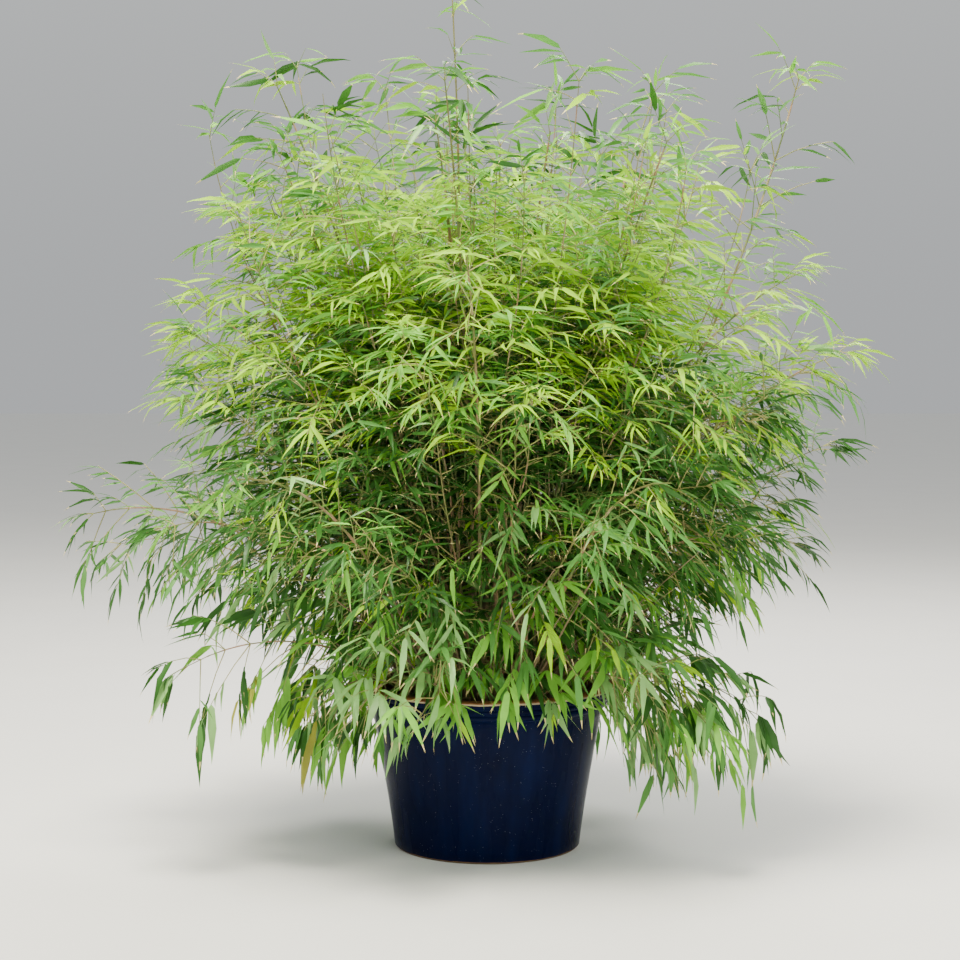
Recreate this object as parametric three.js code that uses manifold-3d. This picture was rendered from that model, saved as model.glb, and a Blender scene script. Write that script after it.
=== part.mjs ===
// A clump of garden bamboo in a glazed round pot. Millimetres, +Z up, -Y to the front, with the
// origin at the centre of the pot's flat underside.
//
// Twenty-eight canes rise out of the soil and fan out, the inner ones upright and the outer ones
// arching over until their tips hang. Each bears one mass of foliage: a stem that carries the cane
// on, twigs that leave it by a seeded rule, and leaves along each twig.

import * as THREE from "three";
import { mergeVertices } from "three/addons/utils/BufferGeometryUtils.js";
import Module from "manifold-3d";

const wasm = await Module();
wasm.setup();

// Pot
const POT_HEIGHT = 341;
const POT_FOOT_RADIUS = 194;
const POT_SHOULDER_RADIUS = 242; // just under the lip
const POT_RIM_RADIUS = 267;
const POT_FLARE = 1.15; // how late the side curves outwards
const POT_WALL = 18;
const POT_FLOOR = 24;
const FOOT_CHAMFER = 4;
const LIP_HEIGHT = 42;
const LIP_COVE = 4; // height of the step from the side out to the lip
const LIP_STEP = 9; // how far the lip stands out of the side
const LIP_TOP_WIDTH = 34;
const LIP_EDGE_DROP = 6; // the lip's outer edge lies this much below its crown
const LIP_GROOVES = [0.34, 0.66]; // shares of the lip's height
const LIP_CROWN = [0.35, 0.75]; // where its top is highest, as shares of its width inwards
const GROOVE_DEPTH = 3;
const GROOVE_WIDTH = 6;
const POT_SIDES = 40;
const POT_SIDE_STEPS = 4;

// Soil
const SOIL_TOP = 296;
const SOIL_GAP = 0.3;

// Canes
const CANE_FOOT_RADIUS = 6;
const CANE_TIP_RADIUS = 4;
const CANE_SIDES = 5;
const CANE_STEPS = 4;
const SEAT_GAP = 0.3; // between two pieces that meet
const BOW = 1.1; // the length of a cane's end tangents over its chord

// Rings of canes, from the heart of the clump outwards. Angles are in degrees: lean is the cane's
// direction as it leaves the soil and tilt its direction at its tip, 0 straight up, 90 level and
// 180 hanging. leafyFrom is the share of the cane's run that is bare, and twigs is how many its
// mass of foliage has.
const RINGS = [
  { name: "heart", count: 3, turn: 90, leafyFrom: 0.4, twigs: 5,
    footRadius: 30, lean: 2, tipRadius: 135, tipHeight: 1440, tilt: 10 },
  { name: "crown", count: 5, turn: 36, leafyFrom: 0.36, twigs: 6,
    footRadius: 62, lean: 12, tipRadius: 400, tipHeight: 1440, tilt: 24 },
  { name: "high", count: 5, turn: 48, leafyFrom: 0.35, twigs: 6,
    footRadius: 88, lean: 24, tipRadius: 540, tipHeight: 1120, tilt: 60 },
  { name: "shoulder", count: 5, turn: 16, leafyFrom: 0.36, twigs: 6,
    footRadius: 112, lean: 38, tipRadius: 590, tipHeight: 800, tilt: 90 },
  { name: "skirt", count: 4, turn: 50, leafyFrom: 0.4, twigs: 4,
    footRadius: 135, lean: 36, tipRadius: 420, tipHeight: 410, tilt: 138 },
];
const RING_TURN_SPREAD = 7; // degrees
const RING_REACH_SPREAD = 0.08; // share of the tip's radius
const RING_HEIGHT_SPREAD = 0.06; // share of the tip's height
const SWAY = 30; // how far a tip swings sideways

// The long shoots that stand out of the crown, each placed by its own azimuth.
const LONG_SHOOTS = [
  { name: "long_top", azimuth: 200, leafyFrom: 0.5, twigs: 5,
    footRadius: 52, lean: 1, tipRadius: 78, tipHeight: 1600, tilt: 3 },
  { name: "long_right", azimuth: 10, leafyFrom: 0.5, twigs: 5,
    footRadius: 88, lean: 27, tipRadius: 650, tipHeight: 1540, tilt: 15 },
  { name: "spray_left", azimuth: 186, leafyFrom: 0.42, twigs: 5,
    footRadius: 126, lean: 40, tipRadius: 740, tipHeight: 720, tilt: 104 },
  { name: "spray_right", azimuth: 354, leafyFrom: 0.42, twigs: 5,
    footRadius: 112, lean: 34, tipRadius: 650, tipHeight: 1000, tilt: 68 },
  { name: "droop_left", azimuth: 204, leafyFrom: 0.44, twigs: 4,
    footRadius: 140, lean: 42, tipRadius: 590, tipHeight: 450, tilt: 116 },
  { name: "droop_right", azimuth: 342, leafyFrom: 0.44, twigs: 4,
    footRadius: 140, lean: 40, tipRadius: 500, tipHeight: 360, tilt: 132 },
];

// Foliage masses
const STEM_TIP_RADIUS = 2.4;
const STEM_SIDES = 4;
const STEM_STEPS = 4;
const TWIG_LENGTH = 200;
const TWIG_TIP_SHARE = 0.55; // the topmost twig's length over the lowest one's
const TWIG_TRIES = [1, 0.75, 0.5, 0.3]; // a twig or leaf that would leave its space is tried shorter
const TWIG_ROOT_RADIUS = 3.4;
const TWIG_TIP_RADIUS = 3;
const TWIG_OPENING = 55; // degrees between a twig and its stem
const TWIG_SAG = 0.2; // share of its length
const TWIG_SPREAD = 0.2; // share of its length
const GOLDEN_TURN = 137.5; // degrees round the stem from one twig to the next
const LEAF_STATIONS = [0.55, 0.95]; // shares of a twig's length
const END_LEAF_STATION = 0.98;
const STEM_LEAF_STATIONS = [0.62, 0.8, 0.96]; // shares of a stem's length
const STEM_END_LEAF_STATION = 0.99;
const LEAF_OPENING = 34; // degrees between a leaf and its twig
const LEAF_OPENING_SPREAD = 0.3; // share of that
const LEAF_LENGTH = 205;
const LEAF_WIDTH = 33;
const LEAF_THICKNESS = 2.6;
const LEAF_ROOT_WIDTH = 1.8;
const LEAF_WIDEST = 0.38; // share of its length
const LEAF_ARCH = 0.06; // share of its length
const LEAF_SPREAD = 0.14; // share of its length
const LEAF_TRIES = [1, 0.8, 0.62];
const LEAF_ROLL = 55; // degrees, the most a leaf is rolled about its own length
const LEAF_WEIGHT_LOW = 0.68; // how hard a leaf is turned down at HANG_BELOW
const LEAF_WEIGHT_HIGH = 0.28; // the same at RISE_ABOVE
const HANG_BELOW = 330;
const RISE_ABOVE = 700;
const ROOM = 8; // kept between one mass's space and the next
const LIMB_ROOM = 4;
const POT_ROOM = 7;
const FLOOR_ROOM = 70;
const CHAIN_LINKS = 12; // a run is measured to as a chain of this many straight links
const WELD = 1e-4; // corners this close are one

// Each mass, twig and leaf has a number of its own, which its chances are drawn by.
const TWIG_NUMBERS = 100; // for a mass's twigs
const LEAF_NUMBERS = 10; // for a twig's leaves
const STEM_LEAF_NUMBERS = 7000; // the leaves on stems are numbered from here
const END_LEAF = 9; // the last of ten

const UP = new THREE.Vector3(0, 0, 1);
const degrees = THREE.MathUtils.degToRad;
const mix = THREE.MathUtils.lerp;

// A repeatable number from 0 to 1 for item n and choice k.
function chance(n, k) {
  const x = Math.sin(n * 12.9898 + k * 78.233) * 43758.5453;
  return x - Math.floor(x);
}

// The same as a number from -1 to 1.
const swing = (n, k) => 2 * chance(n, k) - 1;

// A cane's whole run, bare and leafy, out of the soil and over to its tip.
class CaneRun extends THREE.Curve {
  constructor(cane, n) {
    super();
    const turn = degrees(cane.azimuth);
    this.outward = new THREE.Vector3(Math.cos(turn), Math.sin(turn), 0);
    this.sideways = new THREE.Vector3().crossVectors(UP, this.outward);
    this.foot = this.outward.clone().multiplyScalar(cane.footRadius).setZ(SOIL_TOP + SOIL_GAP);
    this.tip = this.outward.clone().multiplyScalar(cane.tipRadius).setZ(cane.tipHeight);
    const bow = BOW * this.foot.distanceTo(this.tip);
    const tangent = (angle) =>
      this.outward.clone().multiplyScalar(Math.sin(angle) * bow).setZ(Math.cos(angle) * bow);
    this.footTangent = tangent(degrees(cane.lean));
    this.tipTangent = tangent(degrees(cane.tilt));
    this.sway = SWAY * swing(n, 4);
  }

  getPoint(t, target = new THREE.Vector3()) {
    const t2 = t * t;
    const t3 = t2 * t;
    return target
      .set(0, 0, 0)
      .addScaledVector(this.foot, 2 * t3 - 3 * t2 + 1)
      .addScaledVector(this.footTangent, t3 - 2 * t2 + t)
      .addScaledVector(this.tip, 3 * t2 - 2 * t3)
      .addScaledVector(this.tipTangent, t3 - t2)
      .addScaledVector(this.sideways, this.sway * (3 * t2 - 2 * t3));
  }
}

// The part of a run between two shares of its length.
class Stretch extends THREE.Curve {
  constructor(run, from, to) {
    super();
    Object.assign(this, { run, from, to });
  }

  getPoint(t, target) {
    return this.run.getPointAt(mix(this.from, this.to, t), target);
  }
}

// Every cane as azimuth, foot, tip and name: the rings by their rule, then the long shoots.
function layOutCanes() {
  const canes = [];
  for (const ring of RINGS) {
    for (let i = 0; i < ring.count; i++) {
      const n = canes.length;
      canes.push({
        ...ring,
        name: `${ring.name}_${i + 1}`,
        azimuth: ring.turn + (360 * i) / ring.count + RING_TURN_SPREAD * swing(n, 1),
        tipRadius: ring.tipRadius * (1 + RING_REACH_SPREAD * swing(n, 2)),
        tipHeight: ring.tipHeight * (1 + RING_HEIGHT_SPREAD * swing(n, 3)),
      });
    }
  }
  canes.push(...LONG_SHOOTS);
  canes.forEach((cane, n) => {
    const run = new CaneRun(cane, n);
    const gap = SEAT_GAP / 2 / run.getLength();
    cane.run = run;
    cane.bare = new Stretch(run, 0, cane.leafyFrom - gap);
    cane.leafy = new Stretch(run, cane.leafyFrom + gap, 1);
  });
  return canes;
}

// Bends an upright cylinder along a curve, its foot to the curve's start.
function bend(cylinder, curve) {
  const { height, heightSegments } = cylinder.parameters;
  const frames = curve.computeFrenetFrames(heightSegments, false);
  const position = cylinder.getAttribute("position");
  const point = new THREE.Vector3();
  for (let i = 0; i < position.count; i++) {
    const step = Math.round((position.getY(i) / height + 0.5) * heightSegments);
    curve
      .getPointAt(step / heightSegments, point)
      .addScaledVector(frames.normals[step], position.getX(i))
      .addScaledVector(frames.binormals[step], -position.getZ(i));
    position.setXYZ(i, point.x, point.y, point.z);
  }
  return cylinder;
}

// A cane's foot is cut level where it leaves the soil.
function cutLevel(cylinder, run) {
  const position = cylinder.getAttribute("position");
  const along = run.getTangentAt(0);
  for (let i = 0; i < position.count; i++) {
    const rise = position.getZ(i) - run.foot.z;
    if (rise > CANE_FOOT_RADIUS) continue;
    position.setXYZ(
      i,
      position.getX(i) - (along.x / along.z) * rise,
      position.getY(i) - (along.y / along.z) * rise,
      run.foot.z,
    );
  }
  return cylinder;
}

function limb(curve, footRadius, tipRadius, sides, steps) {
  return bend(new THREE.CylinderGeometry(tipRadius, footRadius, curve.getLength(), sides, steps), curve);
}

// A leaf blade: a three-sided cone in two rows, flattened so that one corner is the midrib, and
// widened and lifted at its middle row. Its root has a little width, to hold in its twig.
function leafBlade(leaf) {
  const blade = new THREE.CylinderGeometry(0, 1, 1, 3, 2);
  const position = blade.getAttribute("position");
  for (let i = 0; i < position.count; i++) {
    const row = Math.round((position.getY(i) + 0.5) * 2); // 0 root, 1 widest, 2 tip
    const corner = new THREE.Vector2(position.getX(i), position.getZ(i));
    if (row < 2 && corner.length() > 0) corner.normalize();
    const width = row === 0 ? LEAF_ROOT_WIDTH : leaf.width;
    const thickness = row === 0 ? LEAF_ROOT_WIDTH : LEAF_THICKNESS;
    position.setXYZ(
      i,
      [0, LEAF_WIDEST, 1][row] * leaf.length,
      (-corner.x * width) / Math.sqrt(3),
      (corner.y * thickness) / 1.5 + (row === 1 ? LEAF_ARCH * leaf.length : 0),
    );
  }
  const side = new THREE.Vector3().crossVectors(UP, leaf.direction).normalize();
  const face = new THREE.Vector3().crossVectors(leaf.direction, side);
  return blade
    .rotateX(leaf.roll)
    .applyMatrix4(new THREE.Matrix4().makeBasis(leaf.direction, side, face).setPosition(leaf.root));
}

function solidOf(geometry) {
  const bare = geometry.clone();
  bare.deleteAttribute("normal");
  bare.deleteAttribute("uv");
  const merged = mergeVertices(bare, WELD);
  return new wasm.Manifold(
    new wasm.Mesh({
      numProp: 3,
      vertProperties: new Float32Array(merged.getAttribute("position").array),
      triVerts: new Uint32Array(merged.index.array),
    }),
  );
}

// Joins closed geometries into one, and drops what doesn't hang together with the largest piece.
function fuse(geometries) {
  const whole = geometries.map(solidOf).reduce((a, b) => a.add(b));
  const largest = whole.decompose().reduce((a, b) => (a.volume() > b.volume() ? a : b));
  const mesh = largest.getMesh();
  return new THREE.BufferGeometry()
    .setAttribute("position", new THREE.BufferAttribute(mesh.vertProperties, 3))
    .setIndex(new THREE.BufferAttribute(mesh.triVerts, 1));
}

// How far a point lies from a chain of points.
const nearest = new THREE.Vector3();
const segment = new THREE.Line3();
function distanceTo(point, chain) {
  let best = Infinity;
  for (let i = 1; i < chain.length; i++) {
    segment.set(chain[i - 1], chain[i]).closestPointToPoint(point, true, nearest);
    best = Math.min(best, nearest.distanceTo(point));
  }
  return best;
}

// Whether a geometry keeps to mass n's own space: nearer to that mass's stem than to any other
// stem, clear of every bare cane and of the pot, and above the floor.
function keepsToItsSpace(geometry, n, canes) {
  const position = geometry.getAttribute("position");
  const corners = [];
  for (let i = 0; i < position.count; i++) {
    corners.push(new THREE.Vector3().fromBufferAttribute(position, i));
  }
  const middles = corners.map((corner, i) => corner.clone().lerp(corners[(i + 1) % corners.length], 0.5));
  return [...corners, ...middles].every((point) => {
    const own = distanceTo(point, canes[n].stemChain);
    const radius = Math.hypot(point.x, point.y);
    const overPot = radius < POT_RIM_RADIUS + POT_ROOM;
    return (
      point.z > (overPot ? POT_HEIGHT + POT_ROOM : FLOOR_ROOM) &&
      canes.every(
        (other, m) =>
          distanceTo(point, other.caneChain) > CANE_FOOT_RADIUS + LIMB_ROOM &&
          (m === n || distanceTo(point, other.stemChain) > own + ROOM),
      )
    );
  });
}

// A twig: it leaves the stem at a turn of its own, opens away from it and sags.
function twigCurve(stem, share, turn, length) {
  const root = stem.getPointAt(share);
  const along = stem.getTangentAt(share);
  const across = new THREE.Vector3(-Math.sin(turn), Math.cos(turn), 0).cross(along).normalize();
  const opening = degrees(TWIG_OPENING);
  const direction = along.multiplyScalar(Math.cos(opening)).addScaledVector(across, Math.sin(opening));
  const sag = UP.clone().multiplyScalar(-TWIG_SAG * length);
  const middle = root.clone().addScaledVector(direction, length / 2);
  const end = root.clone().addScaledVector(direction, length).add(sag);
  return new THREE.QuadraticBezierCurve3(root, middle, end);
}

// A leaf on a twig: it opens to one side, and its weight turns it down, more so low in the crown.
function leafOn(twig, share, side, id) {
  const tangent = twig.getTangentAt(share);
  const across = new THREE.Vector3().crossVectors(tangent, UP).normalize().multiplyScalar(side);
  const opening = degrees(LEAF_OPENING) * (1 + LEAF_OPENING_SPREAD * swing(id, 5));
  const root = twig.getPointAt(share);
  const height = THREE.MathUtils.smoothstep(root.z, HANG_BELOW, RISE_ABOVE);
  const direction = tangent
    .multiplyScalar(Math.cos(opening))
    .addScaledVector(across, Math.sin(opening))
    .addScaledVector(UP, -mix(LEAF_WEIGHT_LOW, LEAF_WEIGHT_HIGH, height))
    .normalize();
  const size = 1 + LEAF_SPREAD * swing(id, 6);
  const roll = degrees(LEAF_ROLL) * swing(id, 8);
  return { root, direction, roll, length: LEAF_LENGTH * size, width: LEAF_WIDTH * size };
}

// One mass of foliage: the stem that carries the cane on, its twigs, and the leaves on them.
function foliage(n, canes) {
  const { leafy: stem, twigs: twigCount } = canes[n];
  const pieces = [limb(stem, CANE_TIP_RADIUS, STEM_TIP_RADIUS, STEM_SIDES, STEM_STEPS)];
  const firstThatFits = (shapes) => shapes.find((shape) => keepsToItsSpace(shape, n, canes));
  const addLeaf = (twig, share, side, id) => {
    const leaf = leafOn(twig, share, side, id);
    const blade = firstThatFits(
      LEAF_TRIES.map((size) =>
        leafBlade({ ...leaf, length: leaf.length * size, width: leaf.width * size }),
      ),
    );
    if (blade) pieces.push(blade);
  };
  for (let k = 0; k < twigCount; k++) {
    const id = n * TWIG_NUMBERS + k;
    const share = (k + 0.5) / twigCount;
    const turn = degrees(GOLDEN_TURN) * k + n;
    const length = TWIG_LENGTH * mix(1, TWIG_TIP_SHARE, share) * (1 + TWIG_SPREAD * swing(id, 7));
    const curves = TWIG_TRIES.map((size) => twigCurve(stem, share, turn, length * size));
    const twigs = curves.map((curve) => limb(curve, TWIG_ROOT_RADIUS, TWIG_TIP_RADIUS, 3, 1));
    const twig = firstThatFits(twigs);
    if (!twig) continue;
    pieces.push(twig);
    const curve = curves[twigs.indexOf(twig)];
    const leafId = id * LEAF_NUMBERS;
    LEAF_STATIONS.forEach((station, i) => addLeaf(curve, station, i % 2 ? 1 : -1, leafId + i));
    addLeaf(curve, END_LEAF_STATION, 0, leafId + END_LEAF);
  }
  const stemLeafId = STEM_LEAF_NUMBERS + n * LEAF_NUMBERS;
  STEM_LEAF_STATIONS.forEach((station, i) => addLeaf(stem, station, i % 2 ? 1 : -1, stemLeafId + i));
  addLeaf(stem, STEM_END_LEAF_STATION, 0, stemLeafId + END_LEAF);
  return fuse(pieces);
}

// The pot's section, from the middle of its underside round its outside, over its lip and down
// its inside to the middle of its floor.
function potSection() {
  const lipFoot = POT_HEIGHT - LIP_HEIGHT;
  const points = [
    [0, 0],
    [POT_FOOT_RADIUS - FOOT_CHAMFER, 0],
  ];
  for (let i = 0; i <= POT_SIDE_STEPS; i++) {
    const share = i / POT_SIDE_STEPS;
    points.push([
      mix(POT_FOOT_RADIUS, POT_SHOULDER_RADIUS, share ** POT_FLARE),
      mix(FOOT_CHAMFER, lipFoot - LIP_COVE, share),
    ]);
  }
  const lipAt = (share) => [
    mix(POT_SHOULDER_RADIUS + LIP_STEP, POT_RIM_RADIUS, share),
    mix(lipFoot, POT_HEIGHT - LIP_EDGE_DROP, share),
  ];
  const half = GROOVE_WIDTH / 2 / LIP_HEIGHT;
  points.push(lipAt(0));
  for (const share of LIP_GROOVES) {
    const [radius, height] = lipAt(share);
    points.push(lipAt(share - half), [radius - GROOVE_DEPTH, height], lipAt(share + half));
  }
  points.push(lipAt(1));
  const innerRim = POT_RIM_RADIUS - LIP_TOP_WIDTH;
  points.push(
    ...LIP_CROWN.map((share) => [mix(POT_RIM_RADIUS, innerRim, share), POT_HEIGHT]),
    [innerRim, POT_HEIGHT - LIP_EDGE_DROP],
    [POT_SHOULDER_RADIUS - POT_WALL, lipFoot],
    [POT_FOOT_RADIUS - POT_WALL, POT_FLOOR],
    [0, POT_FLOOR],
  );
  return points.map(([radius, height]) => new THREE.Vector2(radius, height));
}

// The soil fills the pot to a flat top, clear of the wall by a hair.
function soilSection() {
  const wallAt = (height) =>
    mix(
      POT_FOOT_RADIUS - POT_WALL,
      POT_SHOULDER_RADIUS - POT_WALL,
      (height - POT_FLOOR) / (POT_HEIGHT - LIP_HEIGHT - POT_FLOOR),
    );
  const floor = POT_FLOOR + SOIL_GAP;
  return [
    [0, floor],
    [wallAt(floor) - 2 * SOIL_GAP, floor],
    [wallAt(SOIL_TOP) - 2 * SOIL_GAP, SOIL_TOP],
    [0, SOIL_TOP],
  ].map(([radius, height]) => new THREE.Vector2(radius, height));
}

// A lathe turns round +Y, so its work is stood up to turn round +Z.
const turned = (section) => new THREE.LatheGeometry(section, POT_SIDES).rotateX(Math.PI / 2);

const glaze = new THREE.MeshStandardMaterial({ color: 0x0b1330, roughness: 0.15, metalness: 0 });
const earth = new THREE.MeshStandardMaterial({ color: 0x2b1d14, roughness: 0.95, metalness: 0 });
const caneSkin = new THREE.MeshStandardMaterial({ color: 0x8f8a4e, roughness: 0.5, metalness: 0 });
const leafGreen = new THREE.MeshStandardMaterial({ color: 0x5f9a36, roughness: 0.45, metalness: 0 });

const bamboo = new THREE.Group();

function add(name, geometry, material) {
  const mesh = new THREE.Mesh(geometry, material);
  mesh.name = name;
  bamboo.add(mesh);
}

add("pot", turned(potSection()), glaze);
add("soil", turned(soilSection()), earth);

const canes = layOutCanes();
for (const cane of canes) {
  cane.caneChain = cane.bare.getSpacedPoints(CHAIN_LINKS);
  cane.stemChain = cane.leafy.getSpacedPoints(CHAIN_LINKS);
}
canes.forEach((cane, n) => {
  const bare = limb(cane.bare, CANE_FOOT_RADIUS, CANE_TIP_RADIUS, CANE_SIDES, CANE_STEPS);
  add(`cane_${cane.name}`, cutLevel(bare, cane.run), caneSkin);
  add(`foliage_${cane.name}`, foliage(n, canes), leafGreen);
});

export default bamboo;
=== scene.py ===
"""Potted bamboo: a clump of fine-leaved garden bamboo in a round glazed pot.

The file is laid out as an add-on: settings, an operator for each kind of piece, a panel, and a
main function that builds the whole plant. Sizes are metres, +Z up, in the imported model's frame.
"""

import random
from functools import partialmethod
from math import atan2, copysign, cos, degrees, hypot, pi, radians, sin, sqrt, tau

import bmesh
import bpy
import numpy as np
from bpy.props import FloatProperty, FloatVectorProperty, IntProperty, PointerProperty
from bpy.types import Operator, Panel, PropertyGroup
from mathutils import Matrix, Vector


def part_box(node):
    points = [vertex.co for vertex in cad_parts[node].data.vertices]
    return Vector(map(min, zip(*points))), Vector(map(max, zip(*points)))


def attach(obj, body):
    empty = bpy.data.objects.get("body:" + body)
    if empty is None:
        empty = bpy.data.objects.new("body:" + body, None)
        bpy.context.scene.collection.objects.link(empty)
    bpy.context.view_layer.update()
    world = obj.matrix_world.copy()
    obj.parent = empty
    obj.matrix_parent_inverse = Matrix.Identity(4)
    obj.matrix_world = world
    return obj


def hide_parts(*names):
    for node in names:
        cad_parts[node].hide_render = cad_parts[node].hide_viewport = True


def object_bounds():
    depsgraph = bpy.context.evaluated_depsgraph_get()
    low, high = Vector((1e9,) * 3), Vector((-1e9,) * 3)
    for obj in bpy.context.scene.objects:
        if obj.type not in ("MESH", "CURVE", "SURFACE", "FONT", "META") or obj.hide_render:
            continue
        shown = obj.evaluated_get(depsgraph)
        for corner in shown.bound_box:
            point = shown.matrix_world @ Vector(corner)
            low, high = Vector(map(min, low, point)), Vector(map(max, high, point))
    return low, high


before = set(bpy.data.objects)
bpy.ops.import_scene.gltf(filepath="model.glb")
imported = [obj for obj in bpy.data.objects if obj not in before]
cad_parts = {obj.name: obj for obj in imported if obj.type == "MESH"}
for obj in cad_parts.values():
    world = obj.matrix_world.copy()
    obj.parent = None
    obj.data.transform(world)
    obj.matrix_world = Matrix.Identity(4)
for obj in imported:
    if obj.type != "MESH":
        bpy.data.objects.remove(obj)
CAD_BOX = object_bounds()

bl_info = {
    "name": "Potted bamboo",
    "version": (1, 0, 0),
    "blender": (4, 5, 0),
    "location": "3D View > Sidebar > Bamboo",
    "description": "Builds a clump of garden bamboo in a glazed pot",
    "category": "Add Mesh",
}

NODES = sorted(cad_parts)
CANE_NODES = [name for name in NODES if name.startswith("cane_")]
FOLIAGE_NODES = [name for name in NODES if name.startswith("foliage_")]
POT_RADIUS, _, POT_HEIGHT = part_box("pot")[1]
SOIL_RADIUS, _, SOIL_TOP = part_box("soil")[1]
UP = Vector((0, 0, 1))

# The pot's section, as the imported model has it
FOOT_RADIUS = 0.194
SHOULDER_RADIUS = 0.242  # just under the lip
POT_FLARE = 1.15  # how late the side curves outwards
POT_WALL = 0.018
POT_FLOOR = 0.024
FOOT_CHAMFER = 0.004
LIP_HEIGHT = 0.042
LIP_COVE = 0.004
LIP_STEP = 0.009
LIP_TOP_WIDTH = 0.034
LIP_EDGE_DROP = 0.006
LIP_GROOVES = (0.34, 0.66)  # shares of the lip's height
GROOVE_WIDTH = 0.006
SIDE_STEPS = 14
RIM_STEPS = 8

# Rings of canes, from the heart of the clump outwards, each an arc of span degrees from turn. lean
# is a cane's direction at the soil and tilt at its tip, 0 straight up, 90 level and 180 hanging.
# foot and reach are those ends' distances from the middle, and bare is the share without leaves.
RING_KEYS = ("count", "turn", "span", "bare", "foot", "lean", "reach", "height", "tilt")
RINGS = (
    (3, 90, 360, 0.4, 0.03, 2, 0.135, 1.44, 10),
    (5, 36, 360, 0.36, 0.062, 12, 0.4, 1.44, 24),
    (5, 48, 360, 0.35, 0.088, 24, 0.54, 1.12, 60),
    (5, 16, 360, 0.36, 0.112, 38, 0.59, 0.8, 90),
    (4, 50, 360, 0.4, 0.135, 36, 0.42, 0.41, 138),
)
RING_TURN_SPREAD = 7  # degrees
RING_REACH_SPREAD = 0.08  # of the ring's reach
RING_HEIGHT_SPREAD = 0.06  # of the ring's height
SWAY = 0.03  # how far a cane's tip sways aside
WANDER = 0.016  # how far a thin cane wavers from side to side
BOW = 1.1  # the length of a cane's end tangents over its chord
TIP_GROWTH = 0.075  # a cane's fine end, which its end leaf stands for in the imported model

# The long shoots that stand out of the crown: top, right, left spray, right spray, and the two
# that droop beside the pot. growth is a shoot's fine end, companions the number of thinner canes
# beside it, and girth is of a main cane's. The top one is a whip, with fewer and shorter twigs.
SHOOT_KEYS = (
    "azimuth", "bare", "foot", "lean", "reach", "height", "tilt", "growth", "companions", "girth", "whip"
)
LONG_SHOOTS = (
    (200, 0.5, 0.052, 1, 0.078, 1.6, 3, 0.15, 0, 1, True),
    (10, 0.5, 0.088, 27, 0.65, 1.54, 15, TIP_GROWTH, 0, 1),
    (186, 0.42, 0.126, 40, 0.74, 0.72, 104, TIP_GROWTH, 3, 0.8),
    (354, 0.42, 0.112, 34, 0.65, 1, 68, TIP_GROWTH, 4, 0.8),
    (204, 0.44, 0.14, 42, 0.59, 0.45, 116, TIP_GROWTH, 0, 0.6),
    (342, 0.44, 0.14, 40, 0.5, 0.36, 132, TIP_GROWTH, 1, 0.6),
)
BESIDE_GIRTHS = (0.4, 0.7)  # the companions', from the least to the most
THIN_GIRTHS = (0.26, 0.62)  # the same for the thin rings
WHIP_GIRTH = 0.6

# Rings of thin canes between the main ones, which fill the crown's top, its flanks, its middle
# with low and with tall upright canes, the room over the pot, the pot's mouth, the bulge on the
# right and the shoulder on the left
THIN_RINGS = (
    (13, 6, 360, 0.42, 0.074, 13, 0.44, 1.4, 16),
    (9, -8, 360, 0.44, 0.104, 30, 0.6, 0.98, 66),
    (58, 3, 360, 0.72, 0.128, 8, 0.27, 1.12, 12),
    (18, 9, 360, 0.72, 0.09, 6, 0.33, 1.4, 14),
    (14, 15, 360, 0.45, 0.1, 20, 0.31, 0.66, 96),
    (17, 0, 360, 0.22, 0.14, 14, 0.23, 0.5, 70),
    (9, -42, 88, 0.5, 0.104, 30, 0.56, 0.92, 84),
    (8, -36, 76, 0.52, 0.11, 34, 0.55, 0.7, 102),
    (5, 156, 54, 0.42, 0.09, 16, 0.51, 1.32, 18),
    (5, 160, 50, 0.46, 0.1, 26, 0.57, 1.02, 50),
)

# Thin young whips that rise out of the crown: azimuth in degrees, reach and height of the tip
WHIPS = (
    (160, 0.43, 1.64), (231, 0.47, 1.52), (176, 0.575, 1.48), (66, 0.35, 1.59),
    (341, 0.35, 1.56), (35, 0.5, 1.565), (352, 0.54, 1.4), (103, 0.42, 1.58),
    (136, 0.3, 1.6), (262, 0.33, 1.54), (297, 0.42, 1.545), (120, 0.52, 1.43),
    (318, 0.52, 1.38),
)
WHIP_SHAPE = dict(bare=0.46, foot=0.07, lean=12, tilt=9)

# Places along a joint, from its middle, and along a sheath, as shares of its length, each with the
# girth there, of the cane's own
JOINT = ((-0.005, 0.98), (-0.0015, 1.22), (0.0012, 1.24), (0.0035, 0.94))
THIN_JOINT = (JOINT[0], *JOINT[2:])
SHEATH = ((0.3, 1.26), (0.75, 1.16), (1, 1.03))
DEAD_STEMS = 200
STRAWS = 620

# Leaves hang below HANG_BELOW and rise above RISE_ABOVE, and the thin top begins between TOP_FROM
# and TOP_AT. Three numbers in a row are for low down, high up and the top.
HANG_BELOW = 0.33
RISE_ABOVE = 0.7
TOP_FROM = 1.2
TOP_AT = 1.45
LEAF_WEIGHTS = (0.68, 0.28, 0.36)  # how hard a leaf is turned down
LEAF_RISES = (1, 0.6, 0.8)  # share of a leaf's rise or fall that is kept
LEAF_SLIMNESS = (0.86, 1.14, 1)  # of the average slenderness
LEAF_OPENING = (20, 58)  # degrees between a leaf and its twig
LEAF_STRAY = 0.22  # how far a leaf's direction strays
LEAF_SIZES = (1.26, 0.9)  # of the average length, low down and high up
TIP_LEAF_SIZE = 0.88  # of that, at a cane's tip
TOP_LEAF_SIZE = 1.26
SPRAY_COUNTS = (3, 4, 5, 5, 6, 6)  # leaves on a twig, one more high up and one fewer at the top
GOLDEN_TURN = 137.5  # degrees round a cane from one twig to the next
TWIG_GAP = 0.0505  # between the places of a cane that bear twigs
WHIP_TWIG_GAP = 0.07
WHIP_TWIG_SHARE = 0.62  # of a usual twig's length
TWIG_SAGS = (0.34, 0.16)  # low down and high up
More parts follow.
